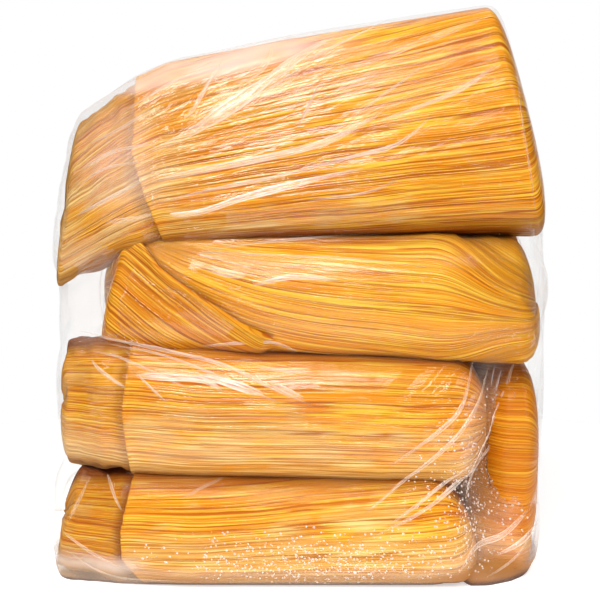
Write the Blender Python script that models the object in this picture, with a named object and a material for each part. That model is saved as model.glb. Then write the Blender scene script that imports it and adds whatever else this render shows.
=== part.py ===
"""A clear film pack of eight corn husk tamales, standing on its flat base.

The sealed pack is one solid: the outside of the clear film, drawn tight over two layers of four
tamales. The tamales are lofted first, as a guide that is not part of the result. The film starts as
one loose skin round all of them, which is drawn in until it touches. It spans the deep part of each
groove, as taut film does. Then it is thinned where it is plain, and cut flat where it stands.

Frame: +X to the pack's right, +Y to its back, +Z up, origin at the middle of the base. Metres.
"""

import math
from dataclasses import dataclass

import bmesh
import bpy
from mathutils import Euler, Vector

# The pack, measured over the film, and what follows from that.
PACK_WIDTH = 0.174
PACK_DEPTH = 0.088
PACK_HEIGHT = 0.200
FILM_GAP = 0.0005  # air left between a husk and the film over it
LEFT = FILM_GAP - PACK_WIDTH / 2
RIGHT = PACK_WIDTH / 2 - FILM_GAP
FRONT_Y = 0.0005 - PACK_DEPTH / 4  # the middle of each layer
BACK_Y = -FRONT_Y
LAYER_DEPTH = PACK_DEPTH / 2 - 0.001

# How one tamale is shaped. Shares are of its own length or size.
SECTION_POWER = 2.6  # superellipse power of the cross section: 2 is an ellipse, more is boxier
OPEN_DEPTH = 0.40  # depth left at the open end, where the husk is pinched flat
FLAP_SHARE = 0.15  # of the length, where the folded-over husk begins
FLAP_DEPTH = 0.80  # depth under the folded husk's edge
FLAP_STEP = 0.0035  # how much deeper the parcel is from that edge on, counting front and back
FULL_SHARE = 0.36  # of the length, from which the parcel has its whole depth
EDGE_SHARE = 0.006  # of the length, taken by the step at the folded husk's edge
LIP_SHARE = 0.03  # of the length, over which the open end's rim is rounded
GUIDE_SIDES = 32

# How the film is drawn on.
LOOSE = 0.012  # the loose skin's distance from the husks: the more, the wider it spans the grooves
LOOSE_CELL = 0.0024  # side of the loose skin's faces
TAUT_CELL = 0.0021  # side of the drawn-in skin's faces
LOOSE_ROUNDS = 4  # of relaxing the loose skin
TAUT_ROUNDS = 11  # of relaxing it when drawn in, which fills the grooves
EVEN_ROUNDS = 3  # of relaxing it once it is kept out of the husks
KEEP_SHARE = 0.13  # of its triangles, kept at the end

FILM_COLOUR = (0.85, 0.45, 0.12, 1.0)
FILM_ROUGHNESS = 0.18


@dataclass
class Tamale:
    """One husk parcel along X, with its open end at x_open and its folded end at x_fold.

    y and z place the middle of its height and depth, halfway along. The other values say how its
    height and its middle line change along it, and how its ends and its top are tilted.
    """

    x_open: float
    x_fold: float
    y: float
    z: float
    depth: float
    height: float
    gain: float = 0.0  # how much taller the folded end is than the open one
    rise: float = 0.0  # how much higher the folded end's middle is than the open one's
    arch: float = 0.0  # how far the middle line bows up between its ends
    droop: float = 0.0  # how far the open end hangs below that line
    slant: float = 0.0  # how far the folded end reaches further out per metre down
    open_slant: float = 0.0  # the same for the open end, towards the folded one
    lean: float = 0.0  # degrees that its top leans towards the back
    cap: float = 0.12  # share of the length taken by the rounded, folded end

    def length(self):
        return self.x_fold - self.x_open


# Each layer is listed from the top down.
FRONT_LAYER = [
    Tamale(LEFT + 0.003, RIGHT - 0.009, FRONT_Y + 0.0065, 0.1532, 0.040, 0.066, gain=0.020,
           rise=0.018, arch=0.002, droop=0.012, slant=0.18, open_slant=-0.13, lean=14, cap=0.03),
    Tamale(LEFT + 0.0225, RIGHT - 0.001, FRONT_Y, 0.1010, LAYER_DEPTH + 0.001, 0.040, gain=0.003,
           rise=-0.002, slant=-0.12, open_slant=-0.25, cap=0.16),
    Tamale(LEFT + 0.0025, RIGHT - 0.020, FRONT_Y, 0.0620, LAYER_DEPTH, 0.045, gain=-0.004,
           rise=-0.004),
    Tamale(LEFT, RIGHT - 0.023, FRONT_Y, 0.0195, LAYER_DEPTH, 0.042),
]
BACK_LAYER = [
    Tamale(RIGHT - 0.013, LEFT + 0.010, BACK_Y + 0.0016, 0.1420, 0.040, 0.056, rise=-0.006, lean=6),
    Tamale(RIGHT - 0.003, LEFT + 0.013, BACK_Y, 0.0960, LAYER_DEPTH, 0.043),
    Tamale(LEFT + 0.0155, RIGHT, BACK_Y, 0.0500, LAYER_DEPTH, 0.050, cap=0.07),
    Tamale(LEFT + 0.0095, RIGHT - 0.0055, BACK_Y, 0.0130, LAYER_DEPTH, 0.028),
]
# Where the film stands off a hollow in the stack instead of following it.
BESIDE_FRONT_2 = Tamale(LEFT + 0.0025, -0.045, -0.008, 0.101, 0.030, 0.080, cap=0.3)
BESIDE_FRONT_3 = Tamale(0.045, RIGHT - 0.0001, -0.004, 0.078, 0.030, 0.124, cap=0.1)
FOOT = Tamale(LEFT + 0.0005, RIGHT - 0.0005, 0.0, 0.0165, 0.060, 0.033, gain=0.004, cap=0.04)
AIR_POCKETS = [BESIDE_FRONT_2, BESIDE_FRONT_3, FOOT]


def clear_scene():
    for obj in list(bpy.data.objects):
        bpy.data.objects.remove(obj)


def smoothstep(share):
    share = min(max(share, 0.0), 1.0)
    return share * share * (3 - 2 * share)


def superellipse(angle):
    """A point on the superellipse of half size 1."""
    c, s = math.cos(angle), math.sin(angle)
    power = 2 / SECTION_POWER
    return math.copysign(abs(c) ** power, c), math.copysign(abs(s) ** power, s)


def depth_along(tamale, share):
    """The depth at this share of the length: pinched, then stepped where the husk is folded over."""
    if share < FLAP_SHARE:
        return tamale.depth * (OPEN_DEPTH + (FLAP_DEPTH - OPEN_DEPTH) * share / FLAP_SHARE)
    stepped = smoothstep((share - FLAP_SHARE) / EDGE_SHARE)
    fuller = smoothstep((share - FLAP_SHARE) / (FULL_SHARE - FLAP_SHARE))
    under = tamale.depth * FLAP_DEPTH + FLAP_STEP * stepped
    return under + (tamale.depth - tamale.depth * FLAP_DEPTH - FLAP_STEP) * fuller


def rounding(distance, reach):
    """How much of the cross section is left at a distance from an end that is rounded over reach."""
    into = max(0.0, 1 - distance / reach)
    return math.sqrt(1 - into**2.4)


def stations(tamale):
    """Shares of the length: closer together at both ends and at the folded husk's edge."""
    shares = [LIP_SHARE * i / 5 for i in range(1, 6)]
    shares += [FLAP_SHARE, FLAP_SHARE + EDGE_SHARE]
    start, end = FLAP_SHARE + EDGE_SHARE, 1 - tamale.cap
    shares += [start + (end - start) * i / 10 for i in range(1, 11)]
    shares += [end + tamale.cap * math.sin(math.pi / 2 * i / 8) for i in range(1, 8)]
    return shares


def middle_of(tamale, share):
    """The middle of the cross section at this share of the length."""
    bow = tamale.arch * (1 - (2 * share - 1) ** 2)
    hang = tamale.droop * max(0.0, 1 - share / (1.5 * FLAP_SHARE)) ** 1.3
    return Vector(
        (
            tamale.x_open + tamale.length() * share,
            tamale.y,
            tamale.z + tamale.rise * (share - 0.5) + bow - hang,
        )
    )


def add_tamale(bm, tamale):
    """Lofts one tamale from rings around its middle line, and closes it at both ends."""
    turn = Euler((-math.radians(tamale.lean), 0, 0)).to_matrix()
    rings = []
    for share in stations(tamale):
        left = rounding(share, LIP_SHARE) * rounding(1 - share, tamale.cap)
        half_depth = depth_along(tamale, share) * left / 2
        half_height = (tamale.height + tamale.gain * (share - 0.5)) * left / 2
        centre = middle_of(tamale, share)
        ring = []
        for k in range(GUIDE_SIDES):
            y, z = superellipse(2 * math.pi * k / GUIDE_SIDES)
            offset = turn @ Vector((0, y * half_depth, z * half_height))
            shear = tamale.open_slant * (1 - share) + tamale.slant * share
            offset.x = -shear * offset.z
            ring.append(bm.verts.new(centre + offset))
        rings.append(ring)
    for ring, following in zip(rings, rings[1:]):
        for k in range(GUIDE_SIDES):
            after = (k + 1) % GUIDE_SIDES
            bm.faces.new((ring[k], ring[after], following[after], following[k]))
    for ring, share in ((rings[0], 0.0), (rings[-1], 1.0)):
        tip = bm.verts.new(middle_of(tamale, share))
        for k in range(GUIDE_SIDES):
            bm.faces.new((ring[k], ring[(k + 1) % GUIDE_SIDES], tip))


def object_from(name, bm):
    bmesh.ops.recalc_face_normals(bm, faces=bm.faces)
    mesh = bpy.data.meshes.new(name)
    bm.to_mesh(mesh)
    bm.free()
    obj = bpy.data.objects.new(name, mesh)
    bpy.context.scene.collection.objects.link(obj)
    return obj


def as_helper(obj):
    """A guide or a cutter: seen as wires while working, and not part of the result."""
    obj.hide_render = True
    obj.display_type = "WIRE"
    return obj


def contents_shells():
    """All the tamales and air pockets, as closed shells that overlap."""
    bm = bmesh.new()
    for tamale in FRONT_LAYER + BACK_LAYER + AIR_POCKETS:
        add_tamale(bm, tamale)
    return bm


def make_ground():
    """A block whose top, at the height 0, is the surface that the pack is pressed flat on."""
    bm = bmesh.new()
    size = Vector((2 * PACK_WIDTH, 2 * PACK_DEPTH, PACK_HEIGHT / 4))
    bmesh.ops.create_cube(bm, size=1.0)
    bmesh.ops.scale(bm, vec=size, verts=bm.verts)
    bmesh.ops.translate(bm, vec=(0, 0, -size.z / 2), verts=bm.verts)
    return as_helper(object_from("ground_cutter", bm))


def swell(obj, distance):
    modifier = obj.modifiers.new("swell", "DISPLACE")
    modifier.mid_level = 0.0
    modifier.strength = distance


def make_one_skin(obj, cell):
    """Turns overlapping shells into the one skin round them all, with even faces."""
    modifier = obj.modifiers.new("one_skin", "REMESH")
    modifier.mode = "VOXEL"
    modifier.voxel_size = cell


def relax(obj, name, rounds):
    modifier = obj.modifiers.new(name, "SMOOTH")
    modifier.factor = 0.5
    modifier.iterations = rounds


def draw_to(obj, contents, name, mode):
    modifier = obj.modifiers.new(name, "SHRINKWRAP")
    modifier.target = contents
    modifier.wrap_method = "NEAREST_SURFACEPOINT"
    modifier.wrap_mode = mode
    modifier.offset = FILM_GAP


def stand_on(obj, ground):
    modifier = obj.modifiers.new("flat_base", "BOOLEAN")
    modifier.operation = "DIFFERENCE"
    modifier.object = ground


def thin_out(obj):
    modifier = obj.modifiers.new("thin_out", "DECIMATE")
    modifier.ratio = KEEP_SHARE


def film_material():
    material = bpy.data.materials.new("film_over_husks")
    material.use_nodes = True
    shader = material.node_tree.nodes["Principled BSDF"]
    shader.inputs["Base Color"].default_value = FILM_COLOUR
    shader.inputs["Roughness"].default_value = FILM_ROUGHNESS
    shader.inputs["Metallic"].default_value = 0.0
    return material


def make_pack():
    contents = as_helper(object_from("contents_guide", contents_shells()))
    make_one_skin(contents, TAUT_CELL)
    pack = object_from("film_pack", contents_shells())
    pack.data.materials.append(film_material())
    swell(pack, LOOSE)
    make_one_skin(pack, LOOSE_CELL)
    relax(pack, "lie_loose", LOOSE_ROUNDS)
    draw_to(pack, contents, "draw_in", "ABOVE_SURFACE")
    make_one_skin(pack, TAUT_CELL)
    relax(pack, "lie_taut", TAUT_ROUNDS)
    draw_to(pack, contents, "keep_outside", "OUTSIDE_SURFACE")
    relax(pack, "even_out", EVEN_ROUNDS)
    thin_out(pack)
    stand_on(pack, make_ground())
    return pack


clear_scene()
make_pack()
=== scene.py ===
# %% [markdown]
# # A clear film pack of corn husk tamales
# Eight tamales stand in two layers of four, wrapped in soaked corn husk and drawn tight in clear film.
# The simulated part is only the outside of the film. Here it is opened up: each tamale becomes its own
# piece of ribbed husk, and the outside becomes a real film with creases, pleats and drops.
# We start with the frame, which holds the part that MuJoCo knows.

# %% Load the frame
import math
from dataclasses import dataclass

import bmesh
import bpy
import numpy as np
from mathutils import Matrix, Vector
from mathutils.bvhtree import BVHTree
from mathutils.kdtree import KDTree


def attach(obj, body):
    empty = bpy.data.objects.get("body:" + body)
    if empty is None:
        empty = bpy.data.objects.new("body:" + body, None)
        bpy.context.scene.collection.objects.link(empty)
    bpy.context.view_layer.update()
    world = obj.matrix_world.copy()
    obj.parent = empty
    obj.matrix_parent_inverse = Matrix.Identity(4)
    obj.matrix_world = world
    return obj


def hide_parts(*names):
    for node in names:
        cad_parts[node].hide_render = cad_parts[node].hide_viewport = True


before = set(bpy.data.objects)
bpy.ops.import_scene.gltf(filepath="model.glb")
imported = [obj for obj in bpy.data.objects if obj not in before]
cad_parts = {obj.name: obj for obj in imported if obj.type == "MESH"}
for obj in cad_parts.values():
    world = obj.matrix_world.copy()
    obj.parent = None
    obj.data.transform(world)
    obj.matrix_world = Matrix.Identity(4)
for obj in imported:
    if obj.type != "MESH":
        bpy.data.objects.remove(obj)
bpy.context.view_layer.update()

# %% [markdown]
# ## Randomness that is the same every time
# Husk and film are full of small uneven things. A smooth noise over a plane gives them: it joins
# repeatable random numbers on a grid. Its ridges make ribs, and its nearest-point distance makes facets.

# %% Noise on arrays


WORD = 0xFFFFFFFF
SHORT_WORD = 0xFFFFFF
SCATTER_X, SCATTER_Y, SCATTER_SEED, SCATTER_AGAIN = 374761393, 668265263, 974634777, 1274126177


def lattice(ix, iy, seed):
    """A repeatable random number from 0 to 1 for each point of a whole-number grid."""
    mixed = ix.astype(np.int64) * SCATTER_X + iy.astype(np.int64) * SCATTER_Y + seed * SCATTER_SEED
    mixed = mixed & WORD
    mixed = ((mixed ^ (mixed >> 13)) * SCATTER_AGAIN) & WORD
    return ((mixed ^ (mixed >> 16)) & SHORT_WORD) / SHORT_WORD


def smooth(share):
    share = np.clip(share, 0.0, 1.0)
    return share * share * (3 - 2 * share)


def noise(x, y, seed):
    """Smooth noise from 0 to 1, with one random value for each unit square."""
    x, y = np.broadcast_arrays(np.asarray(x, float), np.asarray(y, float))
    ix, iy = np.floor(x).astype(np.int64), np.floor(y).astype(np.int64)
    fx, fy = smooth(x - ix), smooth(y - iy)
    low = lattice(ix, iy, seed) * (1 - fx) + lattice(ix + 1, iy, seed) * fx
    high = lattice(ix, iy + 1, seed) * (1 - fx) + lattice(ix + 1, iy + 1, seed) * fx
    return low * (1 - fy) + high * fy


def ridge(x, y, seed):
    """Sharp crests of height 1 along winding lines."""
    return 1 - np.abs(2 * noise(x, y, seed) - 1)


def facets(x, y, seed):
    """Distance to the nearest of one random point in each unit square: cones that meet in creases."""
    ix, iy = np.floor(x), np.floor(y)
    best = np.full(np.shape(x), 9.0)
    for dx in (-1, 0, 1):
        for dy in (-1, 0, 1):
            px = ix + dx + 0.1 + 0.8 * lattice(ix + dx, iy + dy, seed)
            py = iy + dy + 0.1 + 0.8 * lattice(ix + dx, iy + dy, seed + 57)
            best = np.minimum(best, np.hypot(px - x, py - y))
    return best


print("noise runs from 0 to 1:", round(float(noise(0.3, 0.7, 1)), 3))

# %% [markdown]
# ## Maths that builds shader nodes
# Materials are long sums of textures. With a small class that overloads the operators, a sum is written
# as a sum, and each operator adds its own Math node.

# %% Shader maths

WHITE = (1, 1, 1, 1)
PATTERN_STEP = 31.7


def operator(operation, swapped=False):
    """A method that joins two values with one Math node."""

    def join(self, other):
        pair = (other, self) if swapped else (self, other)
        return self.math(operation, *pair)

    return join


class Wire:
    """A number or colour that leaves a node. Arithmetic on it adds Math nodes."""

    __add__ = operator("ADD")
    __radd__ = operator("ADD", True)
    __sub__ = operator("SUBTRACT")
    __rsub__ = operator("SUBTRACT", True)
    __mul__ = operator("MULTIPLY")
    __rmul__ = operator("MULTIPLY", True)
    __truediv__ = operator("DIVIDE")
    __pow__ = operator("POWER")

    def __init__(self, graph, socket):
        self.graph = graph
        self.socket = socket

    def math(self, operation, *values, clamp=False):
        inputs = dict(enumerate(values))
        return self.graph.node("ShaderNodeMath", inputs, operation=operation, use_clamp=clamp)

    def absolute(self):
        return self.math("ABSOLUTE", self)

    def clamp(self):
        return self.math("ADD", self, 0.0, clamp=True)

    def rise(self, low, high, first=0.0, last=1.0):
        """The first value below low, the last one above high, and a smooth slope between them."""
        inputs = {"Value": self, "From Min": low, "From Max": high, "To Min": first, "To Max": last}
        return self.graph.node("ShaderNodeMapRange", inputs, "Result", interpolation_type="SMOOTHSTEP")


class Graph:
    """The node tree of one material, or of the world."""

    def __init__(self, name, kind="Material"):
        self.kind = kind
        self.block = (bpy.data.worlds if kind == "World" else bpy.data.materials).new(name)
        self.block.use_nodes = True
        self.tree = self.block.node_tree
        self.tree.nodes.clear()

    def feed(self, socket, value):
        if isinstance(value, Wire):
            self.tree.links.new(value.socket, socket)
        else:
            socket.default_value = value

    def node(self, kind, inputs=None, output=0, **settings):
        """Adds any node. An input is a value or a Wire, and the named output is what comes back."""
        made = self.tree.nodes.new(kind)
        for key, value in settings.items():
            setattr(made, key, value)
        for key, value in (inputs or {}).items():
            self.feed(made.inputs[key], value)
        return Wire(self, made.outputs[output])

    def attribute(self, name, output="Fac"):
        return self.node("ShaderNodeAttribute", output=output, attribute_name=name)

    def parts(self, vector):
        made = self.tree.nodes.new("ShaderNodeSeparateXYZ")
        self.feed(made.inputs[0], vector)
        return [Wire(self, socket) for socket in made.outputs]

    def on_plane(self, x, y, shift):
        """The inputs of a texture over a plane. Each shift gives its own pattern."""
        place = self.node("ShaderNodeCombineXYZ", {0: x + PATTERN_STEP * shift, 1: y})
        return {"Vector": place, "Scale": 1.0}

    def noise(self, x, y, shift=0.0, detail=2.0, roughness=0.5):
        inputs = self.on_plane(x, y, shift) | {"Detail": detail, "Roughness": roughness}
        return self.node("ShaderNodeTexNoise", inputs, noise_dimensions="2D")

    def noise_in_space(self, place, size, detail=2.0):
        """Noise through the piece's own space, with features of about that size in metres."""
        return self.node("ShaderNodeTexNoise", {"Vector": place, "Scale": 1 / size, "Detail": detail})

    def facets(self, x, y, shift=0.0):
        """The nearest-point distance again: cones that meet in creases."""
        inputs = self.on_plane(x, y, shift)
        return self.node("ShaderNodeTexVoronoi", inputs, "Distance", voronoi_dimensions="2D")

    def own_place(self):
        """Where a point lies in the piece's own space."""
        return self.node("ShaderNodeTexCoord", output="Object")

    def facing(self, bump):
        """From 0, seen square on, to 1, seen edge-on."""
        return self.node("ShaderNodeLayerWeight", {"Blend": 0.5, "Normal": bump}, "Facing")

    def mix(self, share, first, second):
        return self.node("ShaderNodeMix", {0: share, 6: first, 7: second}, 2, data_type="RGBA")

    def mix_shader(self, share, first, second):
        return self.node("ShaderNodeMixShader", {0: share, 1: first, 2: second})

    def clear(self, red, green, blue):
        return self.node("ShaderNodeBsdfTransparent", {"Color": (red, green, blue, 1)})

    def mirror(self, roughness, bump):
        inputs = {"Color": WHITE, "Roughness": roughness, "Normal": bump}
        return self.node("ShaderNodeBsdfGlossy", inputs)

    def bump(self, height, distance, strength=1.0):
        inputs = {"Height": height, "Distance": distance, "Strength": strength}
        return self.node("ShaderNodeBump", inputs)

    def finish(self, surface):
        end = self.tree.nodes.new("ShaderNodeOutput" + self.kind)
        self.feed(end.inputs["Surface"], surface)
        return self.block


def colour(red, green, blue):
    """A screen colour, 0 to 255, as the linear colour that a shader wants."""
    screen = [c / 255 for c in (red, green, blue)]
    linear = [c / 12.92 if c < 0.0404 else ((c + 0.055) / 1.055) ** 2.4 for c in screen]
    return (*linear, 1.0)


print("mid grey in linear light:", round(colour(119, 119, 119)[0], 3))

# %% [markdown]
# ## Corn husk
# A husk is a flat leaf with ribs along it. Soaked and steamed it turns orange and a little see-through,
# with pale ribs standing up and deeper colour between them; where it dries it goes tan. Every husk piece
# carries a map in millimetres, x along the leaf and y across it, so the fibres follow the wrapping.

# %% Husk material

HUSK_VALUES = ("rib", "dry", "gold", "shade", "calm")


def fibre_textures(g, along, across):
    """Cords a few millimetres apart, finer fibres, and thin crest lines along the ribs."""
    bend = across + g.noise(along / 40, across / 12, 3, 1.0) * 1.8
    cord = g.noise(along / 150, bend / 1.5, 1, 1.0)
    fine = g.noise(along / 110, bend / 0.48, 7, 1.0)
    crest = 1 - (g.noise(along / 120, bend / 0.75, 23, 1.0) * 2 - 1).absolute()
    return cord, fine, crest


def husk_material():
    g = Graph("corn_husk")
    along, across, _ = g.parts(g.node("ShaderNodeUVMap", uv_map="fibres"))
    rib, dry, gold, shade, calm = [g.attribute(name) for name in HUSK_VALUES]
    cord, fine, crest = fibre_textures(g, along, across)
    hair = g.noise(along / 20, across / 0.8, 13, 1.0)
    blotch = g.noise(along / 24, across / 12, 17, 3.0, 0.55)
    furrow = g.mix(gold, colour(170, 76, 0), colour(198, 102, 0))
    flesh = g.mix(gold, colour(226, 132, 6), colour(246, 158, 6))
    pale = g.mix(gold, colour(252, 194, 56), colour(255, 208, 66))
    # Pale lines along the rib crests: partly the ribs' own paler colour, partly a painted highlight.
    line = (crest.rise(0.78, 0.95) * hair.rise(0.34, 0.56) * (1 - calm)).clamp()
    depth = (0.5 * cord + 0.5 * fine).rise(0.36, 0.57) * (1 - calm) + 0.6 * calm
    wet = g.mix(depth, furrow, flesh)
    wet = g.mix((line * 0.85 + rib * fine.rise(0.45, 0.62) * 0.6).clamp(), wet, pale)
    tan = g.mix(depth, colour(188, 122, 42), colour(229, 165, 74))
    tan = g.mix((line * 0.8 + hair.rise(0.5, 0.75) * 0.3).clamp(), tan, colour(252, 216, 136))
    edge = (dry + (blotch - 0.5) * 1.1).rise(0.36, 0.62)
    skin = g.mix(edge * 0.9, wet, tan)
    # Painted shade: where the shade value falls, the husk goes deep brown.
    skin = g.mix(shade, colour(122, 54, 2), skin)
    height = cord * 0.9 + fine * 0.4 + crest.rise(0.6, 1.0) * 0.35 + blotch * 0.5
    inputs = {
        "Base Color": skin,
        "Roughness": 0.46 + 0.2 * edge,
        "Normal": g.bump(height, 0.0004),
        "Coat Weight": (0.12 - 0.12 * edge).clamp(),
        "Coat Roughness": 0.14,
        "Specular IOR Level": 0.2,
    }
    return g.finish(g.node("ShaderNodeBsdfPrincipled", inputs))


corn_husk = husk_material()
print("husk nodes:", len(corn_husk.node_tree.nodes))

# %% [markdown]
# ## One tamale
# Each tamale is a parcel along X: pinched flat where the husk ends are left open, with a second husk
# wrapped round from a straight cut edge on, and folded over at the far end. These are the shapes that
# the simulated part was drawn round, taken in a little so that the film stays outside them.

# %% The parcels

PACK_WIDTH = 0.174
PACK_DEPTH = 0.088
FILM_GAP = 0.0005
LEFT = FILM_GAP - PACK_WIDTH / 2
RIGHT = PACK_WIDTH / 2 - FILM_GAP
FRONT_Y = FILM_GAP - PACK_DEPTH / 4
BACK_Y = -FRONT_Y
LAYER_DEPTH = PACK_DEPTH / 2 - 2 * FILM_GAP
OPEN_DEPTH = 0.40
FLAP_DEPTH = 0.80
FLAP_SHARE = 0.15
FULL_SHARE = 0.36
LIP_SHARE = 0.018
INSET = 0.0006
END_INSET = 0.0022
SECTION_STEPS = 1440
SWING_START, SWING_LENGTH = 0.77, 0.16
CALM_START, CALM_LENGTH = 0.68, 0.14


@dataclass
class Tamale:
    """One husk parcel, from its open end to its folded end. Lengths in metres, lean in degrees.

    gain makes the folded end taller, rise lifts it, and arch, droop and tip_drop bend the parcel. The
    slants cut the ends askew. cap is how long the rounded end is, power how square the section is, and
    nip pinches the open end. swing brings the folded end forward. flap gives the cut edge as (height
    share, length share) pairs from the top down, and fan asks for a corner leaf in place of a flap.
    gold, dry and calm set the husk's own colour: dry at the four corners (top open, top folded, low
    open, low folded), and calm for how plain the folded end is. tuck is painted shade along the top
    and bottom edges where the rows meet, as darkness above, darkness below and reach, and stub is
    painted shade over the open end, under the cut edge. shear turns the fibres.
    """

    x_open: float
    x_fold: float
    y: float
    z: float
    depth: float
    height: float
    gain: float = 0.0
    rise: float = 0.0
    arch: float = 0.0
    droop: float = 0.0
    slant: float = 0.0
    open_slant: float = 0.0
    lean: float = 0.0
    cap: float = 0.12
    power: float = 3.0
    tip_drop: float = 0.0
    flap: tuple = ((1.0, FLAP_SHARE), (-1.0, FLAP_SHARE))
    fan: bool = False
    gold: float = 0.5
    dry: tuple = (0.3, 0.3, 0.3, 0.3)
    painted_gap_shade: tuple = (0.75, 0.6, 0.22)
    swing: float = 0.0
    nip: float = 0.0
    painted_stub_shade: float = 0.92
    calm: float = 0.0
    shear: float = 0.0
    seed: int = 1

    def length(self):
        return self.x_fold - self.x_open

    def x_at(self, s):
        """The place along X at a share of the length, a little inside both ends."""
        inward = math.copysign(END_INSET, self.length())
        return self.x_open + inward + (self.length() - 2 * inward) * s


FRONT = [
    Tamale(LEFT + 0.003, RIGHT - 0.0062, FRONT_Y + 0.0055, 0.1508, 0.041, 0.068, gain=0.019,
           rise=0.018, arch=0.002, droop=0.012, slant=0.24, open_slant=-0.13, lean=12, cap=0.04,
           flap=((1.0, 0.15), (0.1, 0.155), (-0.5, 0.19), (-1.0, 0.235)),
           dry=(0.45, 0.0, 0.56, 0.30), painted_gap_shade=(0.0, 0.55, 0.2), shear=0.10, seed=11),
    Tamale(LEFT + 0.0205, RIGHT - 0.003, FRONT_Y, 0.1010, LAYER_DEPTH + 0.001, 0.0425, gain=0.003,
           power=2.8, rise=-0.003, slant=0.10, open_slant=-0.25, cap=0.06, tip_drop=0.002, fan=True,
           gold=1.0, dry=(0.2, 0.0, 0.2, 0.0), painted_gap_shade=(0.4, 0.3, 0.2), seed=23),
    Tamale(LEFT + 0.0025, RIGHT - 0.020, FRONT_Y, 0.0602, LAYER_DEPTH, 0.0475, gain=-0.004, power=2.8,
           rise=-0.006, cap=0.10, flap=((1.0, 0.172), (0.0, 0.150), (-1.0, 0.165)),
           gold=0.6, dry=(0.1, 0.0, 0.78, 0.68), painted_gap_shade=(0.9, 0.6, 0.3), nip=0.12, painted_stub_shade=0.88, shear=0.03,
           seed=37),
    Tamale(LEFT + 0.002, RIGHT - 0.025, FRONT_Y, 0.0204, LAYER_DEPTH, 0.0408, power=2.8, droop=-0.002,
           slant=0.35, open_slant=-0.30, cap=0.08,
           flap=((1.0, 0.155), (0.0, 0.150), (-0.5, 0.165), (-1.0, 0.23)),
           gold=0.6, dry=(0.05, 0.25, 0.75, 0.95), painted_gap_shade=(0.95, 0.3, 0.42), nip=0.12, painted_stub_shade=0.74,
           shear=0.08, seed=41),
]
BACK = [
    Tamale(RIGHT - 0.013, LEFT + 0.010, BACK_Y + 0.0016, 0.1410, 0.040, 0.058, rise=-0.006, lean=6,
           gold=0.4, dry=(0.5, 0.2, 0.5, 0.2), painted_gap_shade=(0.0, 0.6, 0.22), seed=53),
    Tamale(RIGHT - 0.003, LEFT + 0.013, BACK_Y, 0.0965, LAYER_DEPTH, 0.043,
           flap=((1.0, 0.14), (-1.0, 0.18)), gold=0.6, dry=(0.2, 0.3, 0.3, 0.5), seed=61),
    Tamale(LEFT + 0.0155, RIGHT, BACK_Y - 0.001, 0.0450, LAYER_DEPTH, 0.054, gain=0.030,
           rise=-0.008, cap=0.05, power=3.4, swing=0.028, flap=((1.0, 0.17), (-1.0, 0.15)),
           gold=0.2, dry=(0.4, 0.0, 0.5, 0.0), painted_gap_shade=(0.5, 0.2, 0.15), calm=0.7, seed=73),
    Tamale(LEFT + 0.0095, RIGHT - 0.002, BACK_Y, 0.0118, LAYER_DEPTH, 0.022, power=3.4, swing=0.030,
           cap=0.05, gold=0.2, dry=(0.5, 0.4, 0.6, 0.6), calm=0.6, seed=87),
]


def superellipse(angle, power):
    """A rounded square from -1 to 1: an ellipse at power 2, and squarer as the power grows."""
    c, s = np.cos(angle), np.sin(angle)
    power = 2 / power
    return np.sign(c) * np.abs(c) ** power, np.sign(s) * np.abs(s) ** power


def rounding(distance, reach):
    """From 0 at an end to 1 once the distance from it is past the reach."""
    into = np.clip(1 - distance / reach, 0, 1)
    return np.sqrt(np.clip(1 - into**2.4, 0, 1))


def depth_along(t, s):
    """The parcel's depth: pinched at the open end, and full from a third of its length on."""
    pinched = t.depth * (OPEN_DEPTH + (FLAP_DEPTH - OPEN_DEPTH) * s / FLAP_SHARE)
    swell = smooth((s - FLAP_SHARE) / (FULL_SHARE - FLAP_SHARE))
    fuller = t.depth * (FLAP_DEPTH + (1 - FLAP_DEPTH) * swell)
    return np.where(s < FLAP_SHARE, pinched, fuller)


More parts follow.
